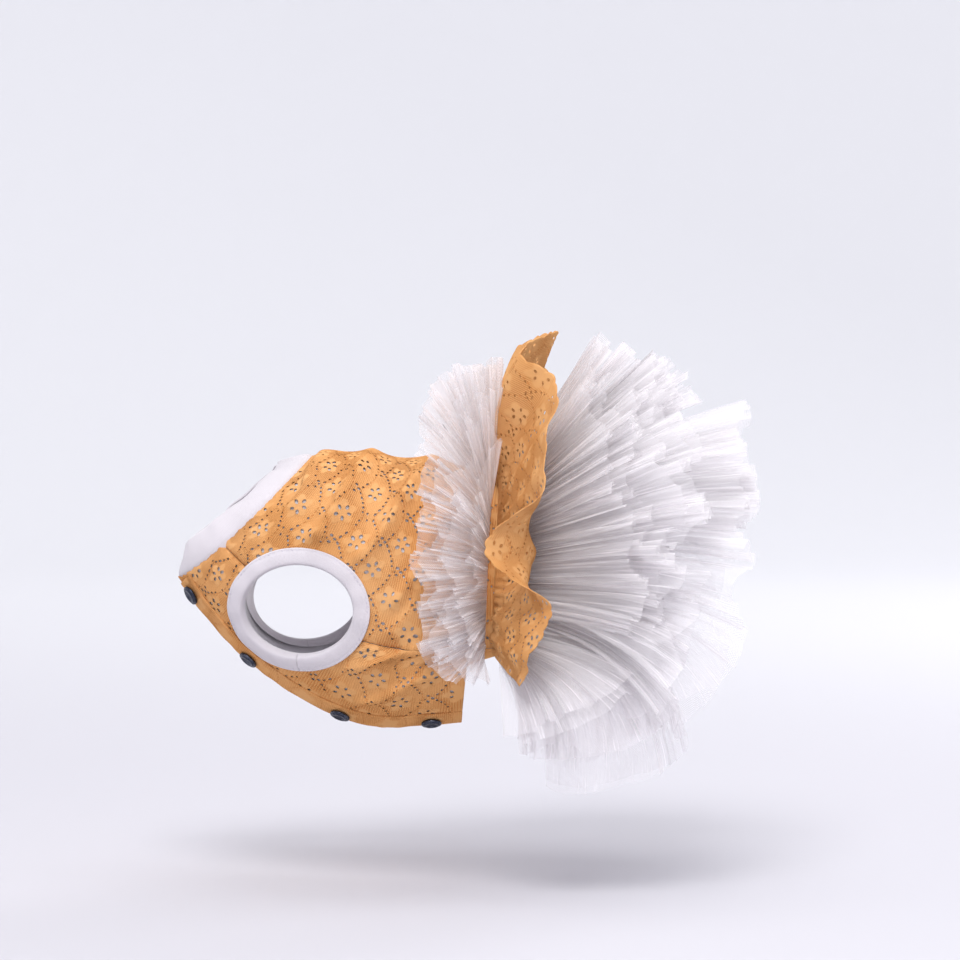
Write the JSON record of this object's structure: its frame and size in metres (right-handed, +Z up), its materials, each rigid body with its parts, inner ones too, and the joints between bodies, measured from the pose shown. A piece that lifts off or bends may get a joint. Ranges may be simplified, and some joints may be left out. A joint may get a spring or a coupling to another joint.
{
  "type": "dog dress",
  "caption": "Small dog's dress: lace bodice with a white neckband, bound leg holes and belly studs, a standing lace flounce and gathered tulle skirt layers, in its worn form.",
  "frame": {"origin": "the middle of the torso that wears it, at the mount torso", "axes": "+X towards the tail, +Z up, -Y the wearer's left side"},
  "size_m": [0.304, 0.2222, 0.2386],
  "materials": {
    "lace": "matte",
    "knit": "matte",
    "tulle": "matte",
    "gunmetal": "satin"
  },
  "bodies": {
    "root": {"back_lace": "lace", "belly_lace": "lace", "placket": "lace", "flounce": "lace", "lining": "knit", "collar": "knit", "binding_left": "knit", "binding_right": "knit", "tulle_front": "tulle", "tulle_standing": "tulle", "tulle_middle": "tulle", "tulle_long": "tulle", "stud_1": "gunmetal", "stud_2": "gunmetal", "stud_3": "gunmetal", "stud_4": "gunmetal"}
  },
  "joints": []
}
